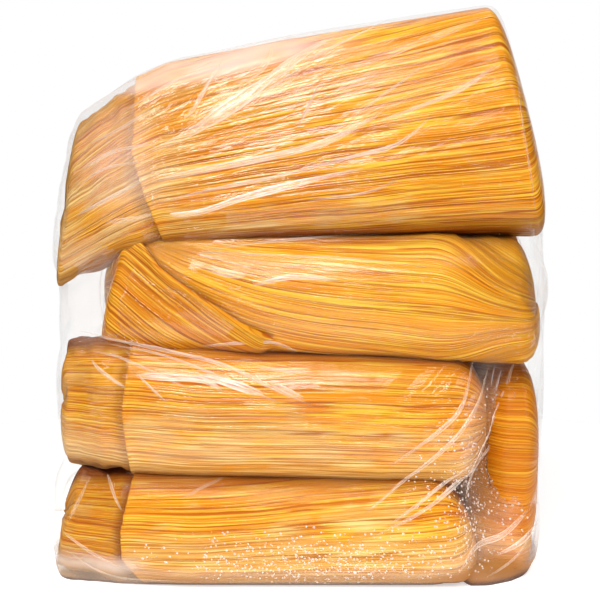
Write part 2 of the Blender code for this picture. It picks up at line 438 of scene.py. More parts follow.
class Husk:
    """The surface of one parcel: points from the share of the length and the share of the way round."""

    def __init__(self, t):
        self.t = t
        self.start = 0.0 if t.y < 0 else math.pi  # the side that faces the other layer
        angle = np.linspace(0, 2 * math.pi, SECTION_STEPS + 1) + self.start
        y, z = superellipse(angle, t.power)
        steps = np.hypot(np.diff(y) * t.depth / 2, np.diff(z) * t.height / 2)
        walked = np.concatenate([[0], np.cumsum(steps)])
        self.angle, self.share, self.girth = angle, walked / walked[-1], walked[-1]

    def share_at(self, height):
        """The share of the way round at a height share on the outer side, from 1 at the top to -1."""
        height = np.clip(height, -0.999, 0.999)
        up = np.arcsin(np.sign(height) * np.abs(height) ** (self.t.power / 2))
        angle = math.pi - up if self.t.y < 0 else 2 * math.pi + up
        return np.interp(angle, self.angle, self.share)

    def section(self, v):
        """The y and z of the section, from -1 to 1, at a share of the way round."""
        return superellipse(np.interp(v % 1.0, self.share, self.angle), self.t.power)

    def smooth_points(self, s, v):
        t = self.t
        y, z = self.section(v)
        left = rounding(s, LIP_SHARE) * rounding(1 - s, t.cap)
        y = y * (depth_along(t, s) / 2 - INSET) * left
        nipped = 1 - t.nip * np.clip(1 - s / FLAP_SHARE, 0, 1)
        z = z * ((t.height + t.gain * (s - 0.5)) / 2 - INSET) * left * nipped
        lean = math.radians(t.lean)
        y, z = y * math.cos(lean) + z * math.sin(lean), z * math.cos(lean) - y * math.sin(lean)
        x = t.x_at(s) - (t.open_slant * (1 - s) + t.slant * s) * z
        bow = t.arch * (1 - (2 * s - 1) ** 2)
        hang = t.droop * np.clip(1 - s / (1.5 * FLAP_SHARE), 0, 1) ** 1.3
        tip = t.tip_drop * (1 - rounding(1 - s, 1.6 * t.cap))
        z = z + t.z + t.rise * (s - 0.5) + bow - hang - tip
        swung = t.swing * smooth((s - SWING_START) / SWING_LENGTH)
        return np.stack([x, y + t.y - swung, z], axis=-1)

    def normals(self, s, v):
        e = 1e-3
        along = self.smooth_points(np.clip(s + e, 0, 1), v) - self.smooth_points(np.clip(s - e, 0, 1), v)
        across = self.smooth_points(s, v + e) - self.smooth_points(s, v - e)
        n = np.cross(along, across)
        n /= np.linalg.norm(n, axis=-1, keepdims=True) + 1e-12
        if self.t.length() < 0:
            n = -n
        return -n

    def fibres(self, s, v):
        """The map in millimetres: x along the leaf, y across it."""
        along = s * abs(self.t.length()) * 1000
        across = v * self.girth * 1000
        if self.t.fan:
            corner = self.share_at(0.97) * self.girth * 1000
            across = (across - corner) / (1 - np.exp(-(along + 5) / 42))
            centre = (self.share_at(-0.3) * self.girth * 1000) - corner
            across = centre + (across - centre) * (1 + 2.2 * smooth((s - 0.7) / 0.3) ** 2)
        height = self.section(v)[1]
        return np.stack([along, across + self.t.shear * along * (0.6 + 0.4 * height)], axis=-1)

    def relief(self, fibres, seed):
        """How far ribs and dents stand out, in metres, and the ribs alone from 0 to 1."""
        along, across = fibres[..., 0], fibres[..., 1]
        wander = 1.6 * noise(along / 38, across / 9, seed + 1)
        crest = ridge(along / 75, (across + wander) / 6.4, seed + 2) ** 6
        second = ridge(along / 60, (across + wander) / 3.6, seed + 3) ** 4
        rib = np.clip(crest + 0.6 * second * noise(along / 25, across / 14, seed + 4), 0, 1)
        dents = noise(along / 40, across / 11, seed + 5) - 0.6
        small = noise(along / 24, (across + wander) / 2.2, seed + 6) - 0.5
        return 0.00036 * rib + 0.0009 * dents + 0.0004 * small, rib

    def dryness(self, s, v):
        """From 0, soaked, to 1, dry, blended between the four corners of the outer side."""
        up = self.section(v)[1] * 0.5 + 0.5
        near, far = np.clip(1 - s * 1.2, 0, 1), np.clip(s * 1.2 - 0.2, 0, 1)
        top_open, top_fold, low_open, low_fold = self.t.dry
        left = top_open * up + low_open * (1 - up)
        right = top_fold * up + low_fold * (1 - up)
        return left * near + right * far + (left + right) / 2 * (1 - near - far)


print("girths in mm:", [round(Husk(t).girth * 1000) for t in FRONT + BACK])

# %% [markdown]
# ## From surface to mesh
# A shell is a grid of points over that surface, lifted by the ribs and by the thickness of the leaf. A
# leaf's edge is closed by turning its rim down into the leaf below it.

# %% Meshes from grids

SAME_POINT = 2e-6
LIP = LIP_SHARE * np.linspace(0, 1, 9)[:-1] ** 1.6
AROUND = np.linspace(0, 1, 261)[None, :]


def store(mesh, name, values):
    """Keeps one number, or three, at each point of a mesh."""
    kind, key = ("FLOAT", "value") if values.ndim == 1 else ("FLOAT_VECTOR", "vector")
    attribute = mesh.attributes.new(name, kind, "POINT")
    attribute.data.foreach_set(key, values.astype(np.float32).ravel())


def add_object(name, data):
    made = bpy.data.objects.new(name, data)
    bpy.context.scene.collection.objects.link(made)
    return made


class Shells:
    """Collects grids of points, with the fibre map and the values that the material reads."""

    def __init__(self):
        self.points, self.faces, self.maps = [], [], []
        self.values = {name: [] for name in HUSK_VALUES}
        self.count = 0

    def add(self, points, fibres, values, around):
        """Joins a grid of points. around: the last column meets the first, and has the same place."""
        rows, columns = points.shape[:2]
        kept = columns - 1 if around else columns
        self.points.append(points[:, :kept].reshape(-1, 3))
        for name, grid in values.items():
            self.values[name].append(np.broadcast_to(grid, (rows, columns))[:, :kept].ravel())
        i, j = np.meshgrid(np.arange(rows - 1), np.arange(columns - 1), indexing="ij")
        corners = ((i, j), (i, j + 1), (i + 1, j + 1), (i + 1, j))
        faces = np.stack([row * kept + column % kept for row, column in corners], -1)
        self.faces.append(faces.reshape(-1, 4) + self.count)
        maps = np.stack([fibres[row, column] for row, column in corners], 2)
        self.maps.append(maps.reshape(-1, 2))
        self.count += rows * kept

    def build(self, name, material):
        mesh = bpy.data.meshes.new(name)
        mesh.from_pydata(np.concatenate(self.points), [], np.concatenate(self.faces).tolist())
        layer = mesh.uv_layers.new(name="fibres")
        layer.data.foreach_set("uv", np.concatenate(self.maps).ravel())
        for key, parts in self.values.items():
            store(mesh, key, np.concatenate(parts))
        mesh.materials.append(material)
        bm = bmesh.new()
        bm.from_mesh(mesh)
        bmesh.ops.remove_doubles(bm, verts=bm.verts, dist=SAME_POINT)
        bmesh.ops.recalc_face_normals(bm, faces=bm.faces)
        for face in bm.faces:
            face.smooth = True
        bm.to_mesh(mesh)
        bm.free()
        return add_object(name, mesh)


def leaf(shells, husk, s, v, lift, seed, shade=1.0):
    """One leaf all round the parcel. s, v and lift are grids. The ribs die out at the rounded ends."""
    s, v, lift = np.broadcast_arrays(s, v, lift)
    fibres = husk.fibres(s, v)
    height, rib = husk.relief(fibres, seed)
    full = np.minimum(rounding(s, LIP_SHARE * 1.5), rounding(1 - s, husk.t.cap * 1.2))
    up = husk.section(v)[1]
    # Painted shade: the husk darkens along its top and bottom edges, where it meets the next row or the
    # floor.
    top, low, reach = husk.t.painted_gap_shade
    edge = (np.abs(up) - 1 + reach) / reach
    shade = shade * (1 - np.where(up > 0, top, low) * smooth(edge * 1.1))
    points = husk.smooth_points(s, v) + husk.normals(s, v) * (lift + height * full**2)[..., None]
    points[..., 2] = np.maximum(points[..., 2], INSET)
    calm = husk.t.calm * smooth((s - CALM_START) / CALM_LENGTH)
    dry = husk.dryness(s, v)
    values = {"rib": rib * full, "dry": dry, "gold": husk.t.gold, "shade": shade, "calm": calm}
    shells.add(points, fibres, values, True)


def spread(start, end, count, cap):
    """Shares of the length from start to end, closer together over the rounded end."""
    flat = np.linspace(start, 1 - cap, count, endpoint=False)
    turn = 1 - cap + cap * np.sin(np.linspace(0, math.pi / 2, 30))
    return np.concatenate([flat, turn[turn <= end]])


def flap_leaves(shells, husk):
    """The leaf that is left open and sinks under the cut edge, then the one wrapped round from there."""
    t = husk.t
    order = sorted(t.flap)
    edge = np.interp(husk.section(AROUND)[1], [p[0] for p in order], [p[1] for p in order])
    edge = edge + 0.0026 * (noise(AROUND * husk.girth / 0.0009, 0.5, t.seed + 9) - 0.5)
    edge = edge + 0.004 * (noise(AROUND * husk.girth / 0.011, 0.5, t.seed + 10) - 0.5)
    s = np.concatenate([LIP, np.linspace(LIP_SHARE, 0.34, 50)])[:, None]
    lift = -0.004 * smooth((s - edge - 0.01) / 0.05)
    crumple = 0.0024 * (noise(s * 22, AROUND * 13, t.seed + 31) - 0.6)
    crumple = crumple + 0.0012 * (noise(s * 50, AROUND * 36, t.seed + 32) - 0.5)
    crumple = crumple * smooth((edge - s) / 0.03)
    # Painted shade: the open end is darker all over, with a painted shadow just beside the cut edge.
    shadow = (1.45 - 1.2 * t.painted_stub_shade) * smooth(1 - np.clip(edge - s, 0, 1) / 0.032)
    leaf(shells, husk, s, AROUND, lift + crumple, t.seed + 20, t.painted_stub_shade - shadow)
    share = spread(0.0, 1.0, 120, t.cap / (1 - FLAP_SHARE))
    share = np.concatenate([[0.0, 0.0, 0.0012, 0.003, 0.005], share[1:]])
    s = edge + (1 - edge) * share[:, None]
    rim = np.interp(share, [0, 0.0012, 0.004, 0.02, 1.0], [0.0006, 0.0012, 0.0014, 0.0010, 0.0009])
    rim[0] = -0.0014
    leaf(shells, husk, s, AROUND, rim[:, None], t.seed)


SEAM_X = (-0.0640, -0.0562, -0.0492, -0.0373, -0.0265, -0.0181, -0.0073)
SEAM_Z = (0.1200, 0.1180, 0.1110, 0.1037, 0.0977, 0.0925, 0.0875)
SEAM_SHADOW = 0.0028


def below_seam(t, s, heights):
    """The shadow of the corner leaf's rim: 1 at the seam, and 0 a few millimetres to both sides."""
    x = t.x_at(s)
    z = t.z + heights * t.height / 2
    away = np.abs((z - np.interp(x, SEAM_X, SEAM_Z)) / SEAM_SHADOW)
    return smooth(1 - away) * (x < SEAM_X[-1])


def fan_leaf(shells, husk):
    """One leaf over the whole parcel, tucked in at the folded end along a falling line."""
    t = husk.t
    heights = husk.section(AROUND)[1]
    s = np.concatenate([LIP, spread(LIP_SHARE, 1.0, 130, t.cap)])[:, None]
    above = heights - np.interp(s, (0.80, 0.88, 0.94, 0.985), (1.0, 0.6, 0.2, -0.3))
    tucked = smooth(above / 0.1) * smooth((s - 0.8) / 0.02)
    # Painted shade: darker along the corner leaf's seam, and a little darker over the tucked-in fold.
    shade = (1 - 0.6 * below_seam(t, s, heights)) * (1 - 0.08 * tucked)
    leaf(shells, husk, s, AROUND, 0.001 * (1 - tucked) * smooth((s - 0.6) / 0.2), t.seed, shade)


def corner_leaf(shells, husk):
    """The leaf that is folded up over the open end in a triangle, with a rolled rim along its seam."""
    t = husk.t
    s = np.concatenate([LIP, np.linspace(LIP_SHARE, 0.40, 56)])
    height = (np.interp(t.x_at(s), SEAM_X, SEAM_Z) - t.z) / (t.height / 2)
    top = husk.share_at(height)
    low = husk.share_at(-0.999) + 0.05
    share = np.concatenate([[0, 0, 0.004, 0.012, 0.03, 0.05], np.linspace(0.07, 1, 90)])
    rim = np.interp(share, [0, 0.004, 0.02, 0.06, 1.0], [0.0005, 0.0018, 0.0026, 0.0013, 0.0010])
    rim[0] = -0.0006
    rim[-1] = -0.0010
    lift = rim[:, None] * np.ones_like(s)[None, :]
    lift[:, -1] = -0.0010
    lift -= 0.0022 * smooth((s[None, :] - 0.36) / 0.04)
    v = top[None, :] + (low - top[None, :]) * share[:, None]
    s = np.broadcast_to(s[None, :], v.shape)
    points = husk.smooth_points(s, v)
    lean = np.stack([s * t.length() * 1000, v * husk.girth * 1000], -1)
    turn = math.radians(33)
    along = lean[..., 0] * math.cos(turn) + lean[..., 1] * math.sin(turn)
    across = lean[..., 1] * math.cos(turn) - lean[..., 0] * math.sin(turn)
    fibres = np.stack([along, across], -1)
    relief, rib = husk.relief(fibres, t.seed + 60)
    points = points + husk.normals(s, v) * (lift + relief)[..., None]
    values = {"rib": rib, "dry": husk.dryness(s, v) * 0.6, "gold": 0.35, "shade": 0.95, "calm": 0.0}
    shells.add(points, fibres, values, False)


def make_tamale(t, name):
    husk = Husk(t)
    shells = Shells()
    if t.fan:
        fan_leaf(shells, husk)
        corner_leaf(shells, husk)
    else:
        flap_leaves(shells, husk)
    return shells.build(name, corn_husk)


tamales = []
for layer, members in (("front", FRONT), ("back", BACK)):
    for row, t in enumerate(members, 1):
        piece = make_tamale(t, f"tamale_{layer}_{row}")
        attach(piece, "root")
        tamales.append(piece)
        print(piece.name, "faces:", len(piece.data.polygons))

# %% [markdown]
# ## The film's own shape
# The film begins as the outside of the simulated part. A copy is merged and given even faces, because
# creases need them. The frame's own mesh is left alone.

# %% Even film

FACE_SIZE = 0.00125


def evaluated_copy(obj, name):
    """The object's shape with its modifiers worked in, as a plain mesh object."""
    graph = bpy.context.evaluated_depsgraph_get()
    mesh = bpy.data.meshes.new_from_object(obj.evaluated_get(graph))
    mesh.name = name
    return add_object(name, mesh)


def even_film():
    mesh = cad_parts["film_pack"].data.copy()
    bm = bmesh.new()
    bm.from_mesh(mesh)
    bmesh.ops.remove_doubles(bm, verts=bm.verts, dist=1e-5)
    bm.to_mesh(mesh)
    bm.free()
    rough = add_object("film_start", mesh)
    remesh = rough.modifiers.new("even", "REMESH")
    remesh.mode = "VOXEL"
    remesh.voxel_size = FACE_SIZE
    ease = rough.modifiers.new("ease", "SMOOTH")
    ease.factor = 0.5
    ease.iterations = 4
    film = evaluated_copy(rough, "clear_film")
    bpy.data.objects.remove(rough)
    return film


film = even_film()
print("film faces:", len(film.data.polygons))

# %% [markdown]
# ## Creases
# Film that is pulled tight creases in fans: lines that run from where it is held and spread out, each
# one a long narrow facet. A field gives every point of the film its place along and across such a fan.
# The largest facets are pressed into the mesh here, and the finer ones are left to the material.

# %% Crease fields


@dataclass
class Fan:
    """Creases through a centre on one side of the pack. Lengths in millimetres, angle in degrees.

    spread opens the lines out per millimetre along, and bow bends them. reach is the half size of the
    area along and across.
    """

    side: str
    centre: tuple
    angle: float
    reach: tuple
    spread: float = 0.0
    bow: float = 0.0
    strength: float = 1.0


FANS = {
    "crease_a": [
        Fan("front", (-20, 158), 25, (105, 34), spread=0.0055),
        Fan("front", (40, 52), 233, (62, 30), spread=0.006, bow=0.002, strength=1.1),
        Fan("back", (10, 150), 155, (110, 40), spread=0.004),
        Fan("top", (0, 5), 8, (95, 45), spread=0.002),
    ],
    "crease_b": [
        Fan("front", (-30, 79), -22, (62, 22), spread=0.012, bow=0.001),
        Fan("front", (50, 168), 24, (40, 30), spread=-0.004, strength=0.5),
        Fan("back", (-20, 60), 40, (95, 45), spread=0.005),
        Fan("left", (0, 60), 62, (90, 40), spread=0.006),
        Fan("right", (0, 110), 118, (95, 42), spread=0.006),
    ],
    "crease_c": [
        Fan("front", (-70, 40), 75, (60, 16), strength=0.8),
        Fan("back", (30, 20), 170, (90, 30)),
        Fan("left", (0, 150), 20, (60, 45)),
        Fan("right", (0, 40), 75, (60, 45)),
    ],
}


def side_planes(points, normals):
    """For each side: its two coordinates in millimetres, and how much a point belongs to it."""
    x, y, z = points.T * 1000
    nx, ny, nz = normals.T
    return {
        "front": (x, z, smooth(-ny * 2.2)),
        "back": (-x, z, smooth(ny * 2.2)),
        "left": (-y, z, smooth(-nx * 2.0 - 0.6)),
        "right": (y, z, smooth(nx * 2.0 - 0.6)),
        "top": (x, y, smooth(nz * 2.6 - 1.6)),
    }


def field_of(fans, planes, count):
    """Place along and across the fan, and its strength, from whichever fan is strongest at a point."""
    result = np.zeros((count, 3))
    for fan in fans:
        a, b, here = planes[fan.side]
        da = a - fan.centre[0]
        db = b - fan.centre[1]
        turn = math.radians(fan.angle)
        along = da * math.cos(turn) + db * math.sin(turn)
        across = db * math.cos(turn) - da * math.sin(turn) - fan.bow * along**2
        inside = np.hypot(along / fan.reach[0], across / fan.reach[1])
        strength = fan.strength * here * smooth(1.6 * (1 - inside))
        across = across / np.clip(1 + fan.spread * (along + fan.reach[0]), 0.3, 9)
        better = strength > result[:, 2]
        result[better] = np.stack([along, across, strength], -1)[better]
    return result


def mesh_arrays(mesh):
    points = np.empty(len(mesh.vertices) * 3)
    mesh.vertices.foreach_get("co", points)
    normals = np.empty(len(mesh.vertices) * 3, np.float32)
    mesh.vertex_normals.foreach_get("vector", normals)
    return points.reshape(-1, 3), normals.reshape(-1, 3).astype(float)


# %% [markdown]
# Some creases are too marked to leave to chance. Where film is gathered and pressed flat again it makes a
# pleat: a band of doubled film that looks milky, with a bright line along both its folds. Each one is a
# line on the front or the back of the film. It lifts the film a little here, and is laid on as its own
# piece below. Each row gives the width, how milky the pleat is, and its points (x, z) in millimetres.

# %% Marked pleats


@dataclass
class Pleat:
    width: float
    milk: float
    points: list
    behind: bool


FRONT_ROWS = (
    (4.5, 0.72, (-50, 150), (-37, 156), (-21, 166), (-10, 174), (4, 184), (14, 189)),
    (1.0, 0.8, (-21, 164), (-8, 172), (9, 183)),
    (2.6, 0.85, (-50, 140), (-33, 144), (-8, 149), (10, 154), (29, 164)),
    (1.2, 0.8, (-48, 133), (-28, 138), (-8, 142), (10, 146)),
    (2.5, 1.0, (-54, 129), (-35, 130), (-19, 135), (0, 140), (22, 145)),
    (1.7, 0.8, (-26, 180), (-33, 168), (-37, 161)),
    (1.0, 0.8, (-29, 180), (-46, 171), (-61, 162)),
    (2.8, 0.5, (-25, 174), (-18, 174), (-11, 179), (-9, 185)),
    (1.0, 0.8, (7, 173), (-1, 157)),
    (2.5, 0.5, (7, 174), (29, 182), (67, 196)),
    (1.4, 0.9, (0, 144), (19, 149), (33, 153), (45, 163)),
    (1.7, 0.8, (26, 160), (52, 170), (66, 179)),
    (0.9, 0.8, (17, 161), (42, 179)),
    (1.0, 0.8, (2, 134), (23, 137), (34, 142)),
    (1.0, 0.8, (0, 179), (20, 189), (31, 194)),
    (1.2, 0.8, (-76, 128), (-51, 141)),
    (1.7, 0.6, (-66, 126), (-48, 129)),
    (2.8, 0.7, (-32, 112), (-24, 110), (-17, 109)),
    (2.0, 1.0, (-16, 106), (-3, 109), (14, 108)),
    (0.7, 0.8, (-43, 117), (14, 115), (44, 112)),
    (1.0, 0.8, (-33, 117), (-10, 120), (14, 122)),
    (1.4, 0.8, (-76, 88), (-43, 83), (-23, 78), (-10, 72), (6, 65)),
    (0.9, 0.8, (-67, 85), (-43, 81), (-17, 71), (-3, 65)),
    (0.9, 0.8, (-70, 82), (-58, 80), (-32, 69)),
    (1.7, 0.8, (-71, 80), (-67, 76), (-58, 71)),
    (0.7, 0.8, (-57, 78), (-44, 66)),
    (3.0, 0.9, (-56, 75), (-47, 75), (-32, 74), (-25, 70)),
    (2.8, 0.9, (-35, 76), (-23, 73), (-11, 69)),
    (2.0, 0.8, (-11, 74), (2, 68)),
    (1.4, 0.8, (-15, 78), (6, 76)),
    (1.4, 0.8, (-33, 85), (-11, 87), (0, 83)),
    (1.6, 0.75, (59, 81), (55, 66), (47, 57), (30, 44)),
    (1.6, 0.75, (65, 79), (61, 67), (52, 54), (36, 39), (22, 28)),
    (1.8, 0.75, (75, 77), (68, 59), (62, 48), (55, 34)),
    (1.6, 0.75, (78, 72), (69, 50), (55, 38), (40, 28), (24, 20)),
    (1.4, 0.75, (64, 48), (47, 36), (30, 24)),
    (1.2, 0.75, (62, 46), (57, 32)),
    (1.0, 0.9, (67, 77), (66, 68)),
    (1.0, 0.9, (70, 75), (68, 66)),
    (1.2, 0.7, (-72, 152), (-61, 157), (-48, 165)),
    (1.6, 0.7, (-75, 143), (-62, 150), (-47, 153)),
    (1.0, 0.7, (-77, 136), (-66, 144), (-52, 147)),
    (1.2, 0.5, (-80, 22), (-76, 30), (-72, 38)),
    (1.2, 0.7, (-66, 40), (-63, 33), (-60, 28)),
    (1.0, 0.5, (-42, 32), (-25, 40)),
    (1.6, 0.8, (84, 22), (76, 14), (68, 10)),
    (2.4, 0.7, (80, 26), (70, 17), (60, 14), (54, 6)),
    (1.2, 0.6, (-83, 20), (-70, 12), (-56, 7)),
    (1.0, 0.7, (-81, 13), (-66, 5), (-40, 3)),
    (1.0, 0.6, (83, 21), (74, 8), (64, 3)),
    (0.7, 0.5, (72, 180), (74, 160), (80, 122)),
)
BACK_ROWS = (
    (3.0, 0.8, (66, 128), (40, 146), (8, 156), (-26, 160)),
    (1.4, 0.9, (70, 136), (48, 150), (22, 161)),
    (2.2, 0.8, (60, 122), (30, 134), (-6, 140), (-40, 138)),
    (1.6, 0.7, (-62, 150), (-40, 146), (-16, 148)),
    (2.0, 0.8, (72, 98), (44, 104), (12, 104), (-18, 99)),
    (1.2, 0.9, (66, 90), (36, 92), (6, 88)),
    (1.8, 0.8, (-70, 108), (-48, 102), (-22, 88)),
    (2.0, 0.75, (-74, 62), (-50, 54), (-24, 40), (-4, 28)),
    (1.2, 0.8, (-72, 52), (-46, 42), (-26, 30)),
    (2.2, 0.8, (60, 60), (34, 58), (4, 50), (-20, 46)),
    (1.4, 0.7, (64, 48), (40, 42), (18, 32)),
    (1.4, 0.6, (70, 18), (40, 14), (8, 16)),
)
PLEATS = [Pleat(width, milk, points, False) for width, milk, *points in FRONT_ROWS]
PLEATS += [Pleat(width, milk, points, True) for width, milk, *points in BACK_ROWS]


def curve_through(points, step=0.8):
    """A smooth line through the points, as even steps in millimetres."""
    p = np.array(points, float)
    p = np.concatenate([[2 * p[0] - p[1]], p, [2 * p[-1] - p[-2]]])
    made = []
    for a, b, c, d in zip(p, p[1:], p[2:], p[3:]):
        second = 2 * a - 5 * b + 4 * c - d
        third = 3 * b - a - 3 * c + d
        count = max(2, int(np.linalg.norm(c - b) / step))
        for t in np.linspace(0, 1, count, endpoint=False):
            made.append(0.5 * (2 * b + (c - a) * t + second * t**2 + third * t**3))
    made.append(p[-2])
    return np.array(made)


def pleat_height(x, z, pleat):
    """How far one pleat lifts each point of its side, in millimetres: a low roof along its line."""
    line = curve_through(pleat.points)
    reach = 1.2 + 0.5 * pleat.width
    lift = np.zeros_like(x)
    near = (x > line[:, 0].min() - reach) & (x < line[:, 0].max() + reach)
    near &= (z > line[:, 1].min() - reach) & (z < line[:, 1].max() + reach)
    distance = np.hypot(x[near][:, None] - line[None, :, 0], z[near][:, None] - line[None, :, 1])
    place = distance.argmin(1) / (len(line) - 1)
    taper = np.clip(np.sin(math.pi * place), 0, 1) ** 0.4
    lift[near] = (0.3 + 0.16 * pleat.width) * taper * np.clip(1 - distance.min(1) / reach, 0, 1)
    return lift


def crease_film(film):
    """Presses facets and pleats into the film, draws the top in, and puts its foot forward at the right."""
    mesh = film.data
    points, normals = mesh_arrays(mesh)
    planes = side_planes(points, normals)
    lift = np.zeros(len(points))
    for seed, (name, fans) in enumerate(FANS.items()):
        field = field_of(fans, planes, len(points))
        store(mesh, name, field)
        along, across, strength = field.T
        bend = 3.0 * noise(along / 30, across / 12, seed + 71)
        lift += 1.0 * strength * (0.55 - facets(along / 62, (across + bend) / 6.0, seed + 81))
    x, y, z = points.T * 1000
    for side, behind in (("front", False), ("back", True)):
        marked = np.zeros(len(points))
        for pleat in PLEATS:
            if pleat.behind == behind:
                marked = np.maximum(marked, pleat_height(x, z, pleat))
        lift += marked * planes[side][2]
    stands = smooth((z - 1.0) / 4.0)
    points += normals * (lift * stands / 1000)[:, None]
    top = smooth((points[:, 2] - 0.11) / 0.08)
    points[:, 0] *= 1 - 0.008 * top
    x, y, z = points.T * 1000
    flare = np.interp(x, (50, 66, 74, 80, 84), (-36, -34, -29, -22, -14)) - y
    here = smooth(1.3 - z / 14) * smooth((x - 52) / 8) * smooth((-y - 8) / 8)
    points[:, 1] += np.minimum(flare, 0) * here / 1000
    mesh.vertices.foreach_set("co", points.ravel())
    mesh.update()
    return lift


lift = crease_film(film)
print("film moved from", round(float(lift.min()), 2), "to", round(float(lift.max()), 2), "mm")

# %% [markdown]
# The creased film must not cut into a husk, so it is pushed back out of all of them at once.

# %% Keep the film outside the husks

HUSK_GAP = 0.0002
FLOOR_GAP = 0.0001


def joined_copy(objects, name):
    bm = bmesh.new()
    for obj in objects:
        bm.from_mesh(obj.data)
    mesh = bpy.data.meshes.new(name)
    bm.to_mesh(mesh)
    bm.free()
    return add_object(name, mesh)


def keep_outside(film, objects):
    guard = joined_copy(objects, "guard")
    wrap = film.modifiers.new("outside", "SHRINKWRAP")
    wrap.target = guard
    wrap.wrap_method = "NEAREST_SURFACEPOINT"
    wrap.wrap_mode = "OUTSIDE"
    wrap.offset = HUSK_GAP
    made = evaluated_copy(film, "film_outside")
    film.modifiers.clear()
    film.data = made.data
    points, _ = mesh_arrays(film.data)
    points[:, 2] = np.maximum(points[:, 2], FLOOR_GAP)
    film.data.vertices.foreach_set("co", points.ravel())
    bpy.data.objects.remove(made)
    bpy.data.objects.remove(guard)


keep_outside(film, tamales)


def set_cling(film, objects):
    """Gives the film the fibre map of the husk it lies on, and how closely it lies there."""
    places, fibres = [], []
    for obj in objects:
        mesh = obj.data
        points, _ = mesh_arrays(mesh)
        corners = np.empty(len(mesh.loops), np.int32)
        mesh.loops.foreach_get("vertex_index", corners)
        uv = np.empty(len(mesh.loops) * 2, np.float32)
        mesh.uv_layers["fibres"].data.foreach_get("uv", uv)
        on_points = np.zeros((len(points), 2))
        on_points[corners] = uv.reshape(-1, 2)
        places.append(points)
        fibres.append(on_points)
    places, fibres = np.concatenate(places), np.concatenate(fibres)
    tree = KDTree(len(places))
    for index, place in enumerate(places.tolist()):
        tree.insert(place, index)
    tree.balance()
    points, _ = mesh_arrays(film.data)
    found = [tree.find_n(place, 3) for place in points.tolist()]
    near = np.array([[item[1] for item in three] for three in found])
    gap = np.array([[item[2] for item in three] for three in found]) * 1000
    weight = 1 / (gap + 0.05)[..., None]
    mean = (fibres[near] * weight).sum(1) / weight.sum(1)
    apart = np.abs(fibres[near] - mean[:, None]).max(axis=(1, 2))
    close = smooth((2.6 - gap.min(1)) / 1.6) * (apart < 4)
    store(film.data, "cling", np.column_stack([mean, close]))
    return close


close = set_cling(film, tamales)
print("share of the film that clings:", round(float((close > 0.5).mean()), 2))


def oval(x, z, centre, reach, level=1.0, fall=1.0):
    """A soft-edged spot on the side of the pack, in millimetres."""
    away = np.hypot((x - centre[0]) / reach[0], (z - centre[1]) / reach[1])
    return smooth(level - fall * away)


def set_surface(film):
    """Where the film shines, is tinted from behind, is milky, holds painted shade and carries drops."""
    mesh = film.data
    points, _ = mesh_arrays(mesh)
    x, y, z = points.T * 1000
    front = y < 0
    gaps = smooth(1 - np.abs(z - 118) / 8) * smooth((x + 30) / 20) + smooth(1.2 - np.abs(z - 82) / 8)
    quiet = 0.85 * smooth((x - 5) / 40) * smooth((z - 88) / 8) + smooth((48 - z) / 6) + 0.8 * gaps
    quiet = quiet + 0.6 * oval(x, z, (35, 68), (32, 16), 1.2)
    store(mesh, "sheen", 1 - np.clip(quiet * front, 0, 0.95))
    foot = smooth((9.0 - z) / 5.0)
    patches = 0.01 * smooth((noise(x / 16, z / 9, 301) - 0.55) * 4)
    corner = oval(x, z, (66, 42), (14, 46), 1.2, 1.2) * front
    window = 0.16 * oval(x, z, (-73, 101), (11, 17), 1.4) * front
    pouch = smooth((-48 - x) / 14) * smooth((14 - z) / 6) * front
    gathered = 0.2 * oval(x, z, (-60, 147), (17, 20), 1.3)
    brow = 0.45 * smooth((z - 178 - 0.2 * x) / 5) * smooth((30 - x) / 40) * smooth((-y - 12) / 14)
    veil = np.maximum(gathered, brow) * (0.6 + 0.8 * noise(x / 9 + z / 14, z / 5 - x / 14, 303)) * front
    haze_and_painted_shade = np.maximum(foot * 0.45, pouch * 0.45) + patches + 0.46 * corner + window + veil
    store(mesh, "foot", np.maximum(foot * (1 - 0.1 * pouch), corner))
    # Painted shade: the milky film turns brown at the lower right corner, and a little less over the hollow
    # above it.
    painted_corner_shade = oval(x, z, (68, 3), (24, 13), 1.3) * front
    store(mesh, "painted_corner_shade", np.maximum(painted_corner_shade, 0.6 * corner))
    streaks = 0.5 * pouch * (noise(x / 9, z / 3 + x / 12, 305) - 0.5)
    haze_and_painted_shade = np.clip(np.clip(haze_and_painted_shade, 0, 0.7) + 0.45 * painted_corner_shade + streaks, 0, 0.75)
    # Painted shade: along its lowest few millimetres the film turns dark brown, a painted contact shadow.
    rim = smooth((2.6 - z) / 2.0)
    store(mesh, "rim", rim)
    store(mesh, "haze_and_painted_shade", np.maximum(haze_and_painted_shade, 0.75 * rim))
    drops = oval(x, z, (5, 12), (70, 15)) + 0.7 * oval(x, z, (60, 35), (26, 38))
    drops = np.where(front, drops, 0.5 * oval(x, z, (0, 20), (80, 30)))
    store(mesh, "wet", drops * (z > 2))


set_surface(film)
print("film height in mm:", round(1000 * max(v.co.z for v in film.data.vertices), 1))
